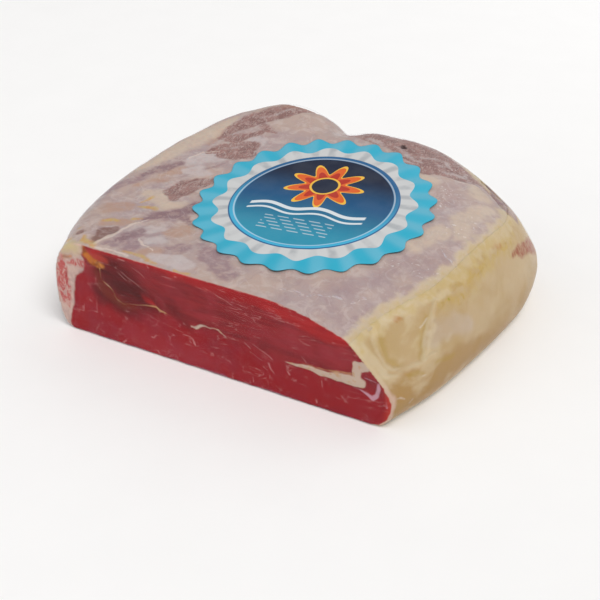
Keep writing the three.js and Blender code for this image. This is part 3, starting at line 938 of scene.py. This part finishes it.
class HamColours(bpy.types.PropertyGroup):
    fascia: tone("Fascia", (168, 149, 148))
    fascia_warm: tone("Warm fascia", (180, 158, 148))
    fascia_pale: tone("Pale fascia", (196, 180, 174))
    cream: tone("Cream fascia", (200, 180, 160))
    peach: tone("Peach fascia", (174, 140, 122))
    mauve: tone("Mauve meat", (148, 122, 126))
    plum: tone("Plum meat", (132, 104, 108))
    pale: tone("Pale lilac fascia", (190, 177, 175))
    tan: tone("Tan meat", (164, 120, 98))
    butter: tone("Buttery fat", (198, 180, 134))
    meat_brown: tone("Bare meat", (152, 116, 110))
    # Painted highlight where the film crinkles over bare meat.
    crinkle_glare: tone("Pale flecks on bare meat", (182, 158, 152))
    meat_shade: tone("Dark grain of bare meat", (132, 98, 93))
    brown: tone("Brown meat", (124, 90, 82))
    seam: tone("Seam", (214, 198, 186))
    stain: tone("Yellow stain", (194, 144, 72))
    # White painted for the film's glints: specks, creases, sheen lines and glints on the fat.
    glint_speck: tone("White specks", (222, 214, 212))
    # Painted shade inside the pit.
    pit: tone("Pit", (70, 48, 46))
    lean: tone("Lean", (118, 24, 30))
    lean_light: tone("Light lean", (142, 34, 38))
    lean_rose: tone("Rose lean", (138, 24, 36))
    lean_pink: tone("Pink lean", (162, 52, 62))
    lean_deep: tone("Deep lean", (142, 14, 22))
    lean_dark: tone("Dark lean", (76, 5, 5))
    lean_bright: tone("Bright lean", (152, 18, 22))
    lean_glow: tone("Glowing lean", (172, 34, 34))
    edge_glow: tone("Glow at the cut's right edge", (188, 62, 46))
    thread: tone("White threads", (206, 144, 140))
    tendon: tone("Tendon", (186, 142, 96))
    umber: tone("Brown round the tendon", (104, 40, 16))
    seam_fat: tone("Fat seam", (194, 174, 156))
    film_glint: tone("Glints of the film", (202, 164, 178))
    rind: tone("Rind fat", (202, 174, 162))
    rind_grey: tone("Grey rind fat", (186, 160, 152))
    rose: tone("Rosy rind", (180, 62, 62))
    amber: tone("Amber fat", (194, 116, 34))
    # Painted sheen: the film's lilac edge along the cut's foot.
    lilac: tone("Lilac foot", (150, 110, 134))
    fat: tone("Fat", (181, 154, 110))
    fat_pale: tone("Pale fat", (188, 163, 126))
    fat_light: tone("White fat", (202, 184, 152))
    fat_gold: tone("Golden fat", (188, 160, 94))
    fat_deep: tone("Olive fat", (168, 138, 68))
    fat_foot: tone("Fat at the foot", (158, 120, 64))
    hair: tone("Hairy skin", (146, 74, 48))
    rust: tone("Rust spot", (170, 112, 50))
    lime: tone("Lime spot", (150, 150, 40))


class FilmSettings(bpy.types.PropertyGroup):
    haze: FloatProperty(name="Haze", description="How much the film whitens what it covers",
                        default=0.008, min=0, max=1, subtype="FACTOR")
    edge_haze: FloatProperty(name="Edge haze", description="How white the film is seen edge on",
                             default=0.16, min=0, max=1, subtype="FACTOR")
    tint: tone("Film", (225, 220, 232))


class LabelSettings(bpy.types.PropertyGroup):
    radius: length("Radius", "Mean radius of the outer scalloped edge", 72)
    scallop: length("Scallop", "Height of the outer scallops, from the mean", 2.4)
    scallops: IntProperty(name="Scallops", description="Outer scallops", default=24, min=3)
    band_radius: length("Band radius", "Mean radius of the silver band's scalloped edge", 60.3)
    band_scallop: length("Band scallop", "Height of the silver band's scallops", 2.5)
    band_scallops: IntProperty(name="Band scallops", description="Scallops of the silver band",
                               default=16, min=3)
    rim_radius: length("Rim radius", "Outer radius of the blue rim", 52)
    disc_radius: length("Disc radius", "Radius of the printed disc", 48)
    lift: length("Lift", "Gap between the film and the label", 0.25)
    thickness: length("Thickness", "Thickness of the label", 0.35)
    crimp: length("Crimp", "Height of the crimped waves in the edge", 0.5)
    turn: FloatProperty(name="Turn", description="How the print is turned on the ham",
                        default=math.radians(4), subtype="ANGLE")
    cyan: tone("Label edge", (48, 168, 196))
    silver: tone("Silver band", (200, 201, 201))
    silver_shade: tone("Silver band's folds", (158, 162, 166))
    rim: tone("Rim", (60, 168, 206))
    rim_dark: tone("Dark rim", (28, 92, 140))
    navy: tone("Top of the disc", (20, 30, 54))
    blue: tone("Middle of the disc", (22, 80, 124))
    teal: tone("Foot of the disc", (42, 142, 170))
    orange: tone("Motif", (220, 96, 30))
    red: tone("Motif's heart", (178, 44, 22))
    yellow: tone("Motif edge", (236, 184, 64))
    white: tone("Waves", (214, 220, 224))


class StageSettings(bpy.types.PropertyGroup):
    lens: FloatProperty(name="Lens", description="Focal length", default=72.0)
    aim: FloatProperty(name="Aim", description="How far right of the front the camera stands",
                       default=math.radians(27.4), subtype="ANGLE")
    elevation: FloatProperty(name="Elevation", description="How far the camera looks down",
                             default=math.radians(30.7), subtype="ANGLE")
    roll: FloatProperty(name="Roll", description="The camera's turn about its own line of sight",
                        default=math.radians(1.07), subtype="ANGLE")
    distance: length("Distance", "From the camera to what it looks at", 782.25)
    target_x: length("Target x", "Where the camera looks, along the cut", -8.1)
    target_y: length("Target y", "Where the camera looks, to the back", -1.6)
    floor: tone("Floor", (246, 245, 244))
    key: FloatProperty(name="Key light", description="Strength of the key light", default=1.8)


class HAM_OT_film_skin(bpy.types.Operator):
    """Clear film, tight over the whole ham"""
    bl_idname = "ham.film_skin"
    bl_label = "Clear film"

    def execute(self, context):
        form, settings = context.scene.ham_form, context.scene.ham_film
        film = copy_nodes("clear_film", ["lean", "fat_cap"])
        apply_modifier(film, "REMESH", "even_grid", mode="VOXEL", voxel_size=form.film_grid)
        flatten(film, 1, CUT_Y, 1.2)
        flatten(film, 2, 0.0, 1.2)
        soften(film, 24)
        thin_underside(film, 0.15)
        keep_field(film, "crease_glint", top_fields(film)["crease_glint"])
        film.data.materials.append(film_material(settings))
        add_piece(film, "clear_film", "lean", "fat_cap")
        return {"FINISHED"}


class HAM_OT_meat(bpy.types.Operator):
    """The meat: fascia outside, fibres, tendon and seams on the cut"""
    bl_idname = "ham.meat"
    bl_label = "Meat"

    def execute(self, context):
        form, colours = context.scene.ham_form, context.scene.ham_colours
        meat = copy_nodes("cured_meat", ["lean"])
        apply_modifier(meat, "REMESH", "even_grid", mode="VOXEL", voxel_size=form.meat_grid)
        flatten(meat, 1, CUT_Y, 1.0)
        flatten(meat, 2, 0.0, 1.0)
        soften(meat, 40)
        thin_underside(meat, 0.12)
        middles, normals = face_table(meat)
        select_faces(meat, (normals[:, 1] < -0.8) & (middles[:, 1] < CUT_Y + 1))
        bpy.ops.mesh.subdivide(number_cuts=1)
        finish_edit()
        self.shape(meat, form)
        self.mark(meat)
        meat.data.materials.append(meat_material(colours))
        add_piece(meat, "cured_meat", "lean")
        return {"FINISHED"}

    def shape(self, meat, form):
        """Relief: lumps, sunk meat, raised seams and the step behind the flap."""
        push(meat, -form.film_gap / MM)
        lie_under(meat, bpy.data.objects["clear_film"], form.film_gap / MM, 1.9)
        places = mesh_places(meat)
        top = top_fields(meat)
        above = ease(places[:, 2], 6, 20)
        away = ease(places[:, 1], CUT_Y + 1, CUT_Y + 9)
        push(meat, form.lumps / MM, above * away, clouds("lumps", 26))
        push(meat, -form.meat_sink / MM, ease(top["meat"], -1.5, 1.5) * away)
        push(meat, 0.9, ease(top["meat"], -1, 1) * away, clouds("grain", 3.2, 3))
        push(meat, form.seam_rise / MM, ease(top["seam"], -1.2, 0.6) * away)
        push(meat, -1.4, ease(top["pit"], -1.2, 0.8))
        step = ease(stroke_depth(places[:, :2], TOP_MARKS["behind"]), -0.8, 0.8)
        off_fat = ease(distance_to(meat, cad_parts["fat_cap"]), 3, 10)
        push(meat, -form.flap_step / MM, step * ease(places[:, 2], 20, 35) * off_fat)
        cut = cut_fields(meat)
        facing = ease(-mesh_normals(meat)[:, 1], 0.6, 0.9)
        facing *= ease(places[:, 1], CUT_Y + 2, CUT_Y + 0.8)
        push(meat, 0.7, facing, clouds("muscle", 11, 2))
        push(meat, 0.3, ease(cut["fat"], -0.8, 0.6) * facing)
        push(meat, -0.25, ease(cut["tendon"], -0.8, 0.4) * facing)

    def mark(self, meat):
        """What the material reads at each vertex."""
        for name, values in {**top_fields(meat), **cut_fields(meat)}.items():
            keep_field(meat, name, values)
        keep_field(meat, "level", mesh_normals(meat)[:, 2])
        keep_field(meat, "height", mesh_places(meat)[:, 2])
        keep_field(meat, "border", distance_to(meat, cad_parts["fat_cap"]))


class HAM_OT_fat_cover(bpy.types.Operator):
    """The fat cover on the right side, which shows as a strip at the cut"""
    bl_idname = "ham.fat_cover"
    bl_label = "Fat cover"

    def execute(self, context):
        form, colours = context.scene.ham_form, context.scene.ham_colours
        fat = copy_nodes("fat_cover", ["fat_cap"])
        self.root_inward(fat, form)
        apply_modifier(fat, "REMESH", "even_grid", mode="VOXEL", voxel_size=form.fat_grid)
        flatten(fat, 1, CUT_Y, 0.8)
        soften(fat, 12)
        push(fat, -form.film_gap * 0.7 / MM)
        lie_under(fat, bpy.data.objects["clear_film"], form.film_gap * 0.7 / MM, 0.8)
        places = mesh_places(fat)
        side = side_fields(fat)
        outward = ease(mesh_normals(fat)[:, 0], 0, 0.5) * ease(places[:, 1], CUT_Y + 1, CUT_Y + 6)
        push(fat, 1.0, outward * ease(places[:, 2], 3, 12), clouds("fat_lumps", 22))
        push(fat, -0.7, outward * ease(side["fold"], -1.4, 0.6))
        behind = stroke_depth(places[:, :2], TOP_MARKS["behind"]) - np.maximum(0, 62 - places[:, 2])
        for name, values in {**side, **cut_fields(fat), "behind": behind}.items():
            keep_field(fat, name, values)
        places = mesh_places(fat)
        keep_field(fat, "height", places[:, 2])
        keep_field(fat, "behind_cut", places[:, 1] - CUT_Y)
        film = bpy.data.objects["clear_film"]
        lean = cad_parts["lean"]
        bare = distance_to(lean, film) < 0.7
        keep_field(fat, "border", -distance_to(
            fat, lean, lambda face: face.normal.y > -0.8 and all(bare[v] for v in face.vertices)))
        fat.data.materials.append(fat_material(colours))
        add_piece(fat, "ham_fat", "fat_cap")
        return {"FINISHED"}

    def root_inward(self, fat, form):
        """A second layer, set inward, so that the thin upper edge is rooted in the meat."""
        look_only(fat)
        bpy.ops.object.mode_set(mode="EDIT")
        bpy.ops.mesh.select_all(action="SELECT")
        bpy.ops.mesh.duplicate_move(TRANSFORM_OT_translate={"value": (-form.root, 0.0, 0.0)})
        finish_edit()


class HAM_OT_label(bpy.types.Operator):
    """Round label with a scalloped edge, a silver band and a printed disc"""
    bl_idname = "ham.label"
    bl_label = "Label"

    def execute(self, context):
        settings = context.scene.ham_label
        self.centre = (LABEL_LOW + LABEL_HIGH) / 2
        label = self.rings(settings)
        self.scallops(label, settings)
        self.map_print(label)
        self.drape(label, settings)
        label.data.materials.append(label_material(settings))
        add_piece(label, "label_print", "label")
        return {"FINISHED"}

    def rings(self, settings):
        """Rings from the edge to the middle, each drawn in from the one before."""
        bpy.ops.object.select_all(action="DESELECT")
        steps = settings.scallops * 12
        place = (self.centre.x, self.centre.y, LABEL_HIGH.z)
        bpy.ops.mesh.primitive_circle_add(vertices=steps, radius=settings.radius, location=place)
        label = bpy.context.object
        label.name = "round_label"
        bpy.ops.object.transform_apply(location=True, rotation=True, scale=True)
        bpy.ops.object.mode_set(mode="EDIT")
        bpy.ops.mesh.select_all(action="SELECT")
        before = settings.radius / MM
        for radius in LABEL_RINGS:
            share = radius / before
            bpy.ops.mesh.extrude_edges_move()
            bpy.ops.transform.resize(value=(share, share, share), center_override=place)
            before = radius
        bpy.ops.mesh.merge(type="CENTER")
        bpy.ops.mesh.select_all(action="SELECT")
        bpy.ops.mesh.normals_make_consistent(inside=False)
        finish_edit()
        return label

    def polar(self, label):
        away = mesh_places(label)[:, :2] - np.array(self.centre.xy) / MM
        return away, np.hypot(away[:, 0], away[:, 1]), np.arctan2(away[:, 1], away[:, 0])

    def scallops(self, label, settings):
        """Draws the edge into scallops and crimps it."""
        away, radius, angle = self.polar(label)
        outer = settings.radius / MM
        pull = ease(radius, settings.rim_radius / MM + 2, outer)
        wave = np.cos(settings.scallops * (angle - FIRST_TIP))
        grown = radius + settings.scallop / MM * wave * pull
        band = np.cos(settings.band_scallops * (angle - FIRST_BAND_TIP))
        share = ease(radius, settings.rim_radius / MM + 1, settings.band_radius / MM)
        crimp = settings.crimp / MM * (wave * pull + 0.8 * band * share * (1 - pull))
        rim_middle = (settings.rim_radius + settings.disc_radius) / 2 / MM
        rim = ease(-np.abs(radius - rim_middle), -2.2, -0.8)
        flat = mesh_places(label)
        scale = np.where(radius > 0, grown / np.maximum(radius, 1e-6), 1)
        flat[:, :2] = np.array(self.centre.xy) / MM + away * scale[:, None]
        flat[:, 2] += crimp + 0.35 * rim
        label.data.vertices.foreach_set("co", (flat * MM).astype(np.float32).ravel())
        label.data.update()

    def map_print(self, label):
        """The print's own map, in metres from the label's middle."""
        layer = label.data.uv_layers.new(name="print")
        away = self.polar(label)[0] * MM
        corners = np.empty(len(label.data.loops), np.int32)
        label.data.loops.foreach_get("vertex_index", corners)
        layer.data.foreach_set("uv", away[corners].astype(np.float32).ravel())

    def drape(self, label, settings):
        """Lays the label on the ham, keeping its crimps, and gives it a thickness."""
        flat = mesh_places(label)[:, 2] - LABEL_HIGH.z / MM
        look_only(label)
        film = bpy.data.objects["clear_film"]
        apply_modifier(label, "SHRINKWRAP", "lie_on_ham", target=film, wrap_method="PROJECT",
                       use_project_x=False, use_project_y=False, use_project_z=True,
                       use_negative_direction=True, use_positive_direction=False, offset=0.0)
        places = mesh_places(label)
        places[:, 2] += flat + (settings.lift + settings.crimp + settings.thickness / 2) / MM
        label.data.vertices.foreach_set("co", (places * MM).astype(np.float32).ravel())
        label.data.update()
        apply_modifier(label, "SMOOTH", "even_out", factor=0.5, iterations=2)
        apply_modifier(label, "SOLIDIFY", "thicken", thickness=settings.thickness, offset=-1.0)


def label_material(settings):
    """Satin paper: cyan edge, silver band, blue rim and a graded disc with a simple motif."""
    s = Shades("label_print")
    uv = s.tree.nodes.new("ShaderNodeUVMap")
    uv.uv_map = "print"
    spot = s.turned((0, 0, -math.degrees(settings.turn)), (1 / MM, 1 / MM, 1), uv.outputs["UV"])
    split = s.tree.nodes.new("ShaderNodeSeparateXYZ")
    s.feed(split.inputs[0], spot)
    across, up = split.outputs[0], split.outputs[1]
    angle = s.sum("ARCTAN2", up, across)

    def length_of(first, second):
        return s.sum("SQRT", s.sum("MULTIPLY_ADD", first, first, s.sum("MULTIPLY", second, second)))

    def crisp(value, edge=0.15):
        return s.ramp(value, -edge, edge)

    def waves(angle, count, first=0.0):
        return s.sum("COSINE", s.sum("MULTIPLY", s.sum("SUBTRACT", angle, first), float(count)))

    radius = length_of(across, up)
    band = s.sum("MULTIPLY_ADD", waves(angle, settings.band_scallops, FIRST_BAND_TIP - settings.turn),
                 settings.band_scallop / MM, settings.band_radius / MM)
    rays = waves(angle, settings.scallops, FIRST_TIP)
    sheen = s.noise(14, 3)
    cyan = s.mix(s.ramp(rays, -1, 1, 0, 0.1), settings.cyan, settings.white)
    folds = s.ramp(waves(angle, settings.band_scallops * 2), -0.4, 1)
    folds = s.sum("MULTIPLY", folds, s.ramp(sheen, 0.4, 0.6, 0.15, 0.75))
    silver = s.mix(folds, settings.silver, settings.silver_shade)
    colour = s.mix(crisp(s.sum("SUBTRACT", band, radius)), cyan, silver)
    rim = s.mix(s.ramp(up, 30, -30), settings.rim_dark, settings.rim)
    colour = s.mix(crisp(s.sum("SUBTRACT", settings.rim_radius / MM, radius)), colour,
                   settings.rim_dark)
    colour = s.mix(crisp(s.sum("SUBTRACT", settings.rim_radius / MM - 0.7, radius)), colour, rim)
    line = s.sum("ABSOLUTE", s.sum("SUBTRACT", radius, settings.disc_radius / MM + 0.6))
    colour = s.mix(s.sum("MULTIPLY", crisp(s.sum("SUBTRACT", 0.4, line)), 0.5), colour, settings.white)
    disc = s.mix(s.ramp(up, 34, -2), settings.navy, settings.blue)
    disc = s.mix(s.ramp(up, 4, -42), disc, settings.teal)
    colour = s.mix(crisp(s.sum("SUBTRACT", settings.disc_radius / MM, radius)), colour, disc)

    # A sun of rounded rays over soft waves, with rows of dashes under them.
    east, north = across, s.sum("SUBTRACT", up, 17.0)
    reach = length_of(east, north)
    beat = waves(s.sum("ARCTAN2", north, east), 9)
    for swing, mean, tint in ((6.0, 19.5, settings.yellow), (5.4, 17.8, settings.orange),
                              (3.4, 13.0, settings.red), (0.0, 9.6, settings.yellow),
                              (0.0, 8.2, settings.navy)):
        edge = s.sum("MULTIPLY_ADD", beat, swing, mean)
        colour = s.mix(crisp(s.sum("SUBTRACT", edge, reach)), colour, tint)
    for height, half in ((-10.5, 1.5), (-16.0, 0.9)):
        wave = s.sum("MULTIPLY", s.sum("SINE", s.sum("MULTIPLY", across, 0.18)), 2.0)
        gap = s.sum("ABSOLUTE", s.sum("SUBTRACT", s.sum("SUBTRACT", up, wave), height))
        inside = s.ramp(s.sum("ABSOLUTE", across), 37.5, 36.5)
        stripe = s.sum("MULTIPLY", crisp(s.sum("SUBTRACT", half, gap)), inside)
        colour = s.mix(stripe, colour, settings.white)
    rows = s.sum("COSINE", s.sum("MULTIPLY", up, math.tau / 3.2))
    dashes = waves(s.sum("MULTIPLY_ADD", up, 0.9, across), 0.62)
    field = s.sum("MULTIPLY", s.ramp(up, -21.6, -22), s.ramp(up, -38.0, -37.6))
    field = s.sum("MULTIPLY", field, s.ramp(s.sum("ABSOLUTE", across), 22.4, 22))
    field = s.sum("MULTIPLY", field, s.ramp(rows, 0.5, 0.7))
    field = s.sum("MULTIPLY", field, s.ramp(dashes, -0.7, -0.5))
    colour = s.mix(s.sum("MULTIPLY", field, 0.55), colour, settings.white)
    colour = s.mix(s.ramp(sheen, 0.35, 0.65, 0, 0.02), colour, settings.white)
    s.set(Base_Color=colour, Roughness=0.42, Specular_IOR_Level=0.2, Coat_Weight=0.1,
          Coat_Roughness=0.3, Normal=s.bump(s.noise(3, 3), 0.15, 0.1))
    return s.material


class HAM_OT_stage(bpy.types.Operator):
    """Pale floor, soft studio light and the camera"""
    bl_idname = "ham.stage"
    bl_label = "Stage"

    def execute(self, context):
        settings = context.scene.ham_stage
        self.floor(settings)
        self.camera(context, settings)
        self.sun(settings)
        self.light("fill", (-0.7, -1.0, 0.7), 1.2, 3.0)
        self.light("back", (0.3, 1.1, 0.9), 1.2, 3.0)
        world = bpy.data.worlds.new("studio")
        world.use_nodes = True
        world.node_tree.nodes["Background"].inputs["Color"].default_value = (1, 1, 1, 1)
        world.node_tree.nodes["Background"].inputs["Strength"].default_value = 0.42
        context.scene.world = world
        context.scene.view_settings.view_transform = "Standard"
        return {"FINISHED"}

    def floor(self, settings):
        """A wide flat floor under the ham."""
        bpy.ops.object.select_all(action="DESELECT")
        bpy.ops.mesh.primitive_plane_add(size=8.0, location=(0, 0, 0))
        floor = bpy.context.object
        floor.name = "floor"
        shades = Shades("floor")
        speckle = shades.noise(40, 3)
        pale = tuple(min(1.0, value * 1.03) for value in settings.floor)
        shades.set(Base_Color=shades.mix(speckle, settings.floor, pale), Roughness=0.7)
        floor.data.materials.append(shades.material)

    def camera(self, context, settings):
        data = bpy.data.cameras.new("camera")
        data.sensor_width = 36.0
        data.lens = settings.lens
        data.shift_x = 0.0058
        data.shift_y = -0.0223
        camera = bpy.data.objects.new("camera", data)
        turn = Euler((math.pi / 2 - settings.elevation, 0.0, settings.aim)).to_matrix()
        turn = turn @ Euler((0.0, 0.0, settings.roll)).to_matrix()
        target = Vector((settings.target_x, settings.target_y, 0.0))
        camera.matrix_world = turn.to_4x4()
        camera.location = target + turn @ Vector((0.0, 0.0, settings.distance))
        context.scene.collection.objects.link(camera)
        context.scene.camera = camera

    def sun(self, settings):
        """The key light. It reaches the whole floor evenly."""
        data = bpy.data.lights.new("key", "SUN")
        data.angle = math.radians(38)
        data.energy = settings.key
        lamp = bpy.data.objects.new("key", data)
        lamp.rotation_euler = Vector((0.5, -0.4, 1.0)).to_track_quat("Z", "Y").to_euler()
        bpy.context.scene.collection.objects.link(lamp)

    def light(self, name, place, size, power):
        data = bpy.data.lights.new(name, "AREA")
        data.size = size
        data.energy = power
        lamp = bpy.data.objects.new(name, data)
        lamp.location = place
        lamp.rotation_euler = (LIT_PLACE - Vector(place)).to_track_quat("-Z", "Y").to_euler()
        bpy.context.scene.collection.objects.link(lamp)


class VIEW3D_PT_ham(bpy.types.Panel):
    """Lists the pieces and their settings"""
    bl_label = "Cured ham"
    bl_space_type = "VIEW_3D"
    bl_region_type = "UI"
    bl_category = "Ham"

    def draw(self, context):
        for operator in PIECES:
            self.layout.operator(operator.bl_idname)
        for title, group in (("Form", context.scene.ham_form), ("Colours", context.scene.ham_colours),
                             ("Film", context.scene.ham_film), ("Label", context.scene.ham_label),
                             ("Stage", context.scene.ham_stage)):
            box = self.layout.box()
            box.label(text=title)
            for name in group.__annotations__:
                box.prop(group, name)


SETTINGS = {
    "ham_form": HamForm, "ham_colours": HamColours, "ham_film": FilmSettings,
    "ham_label": LabelSettings, "ham_stage": StageSettings,
}
PIECES = (HAM_OT_film_skin, HAM_OT_meat, HAM_OT_fat_cover, HAM_OT_label, HAM_OT_stage)


def register():
    for cls in (*SETTINGS.values(), *PIECES, VIEW3D_PT_ham):
        bpy.utils.register_class(cls)
    for name, cls in SETTINGS.items():
        setattr(bpy.types.Scene, name, PointerProperty(type=cls))


def unregister():
    for name in SETTINGS:
        delattr(bpy.types.Scene, name)
    for cls in (VIEW3D_PT_ham, *reversed(PIECES), *reversed(SETTINGS.values())):
        bpy.utils.unregister_class(cls)


def main():
    register()
    bpy.ops.ham.film_skin()
    bpy.ops.ham.meat()
    bpy.ops.ham.fat_cover()
    bpy.ops.ham.label()
    bpy.ops.ham.stage()


if __name__ == "__main__":
    main()
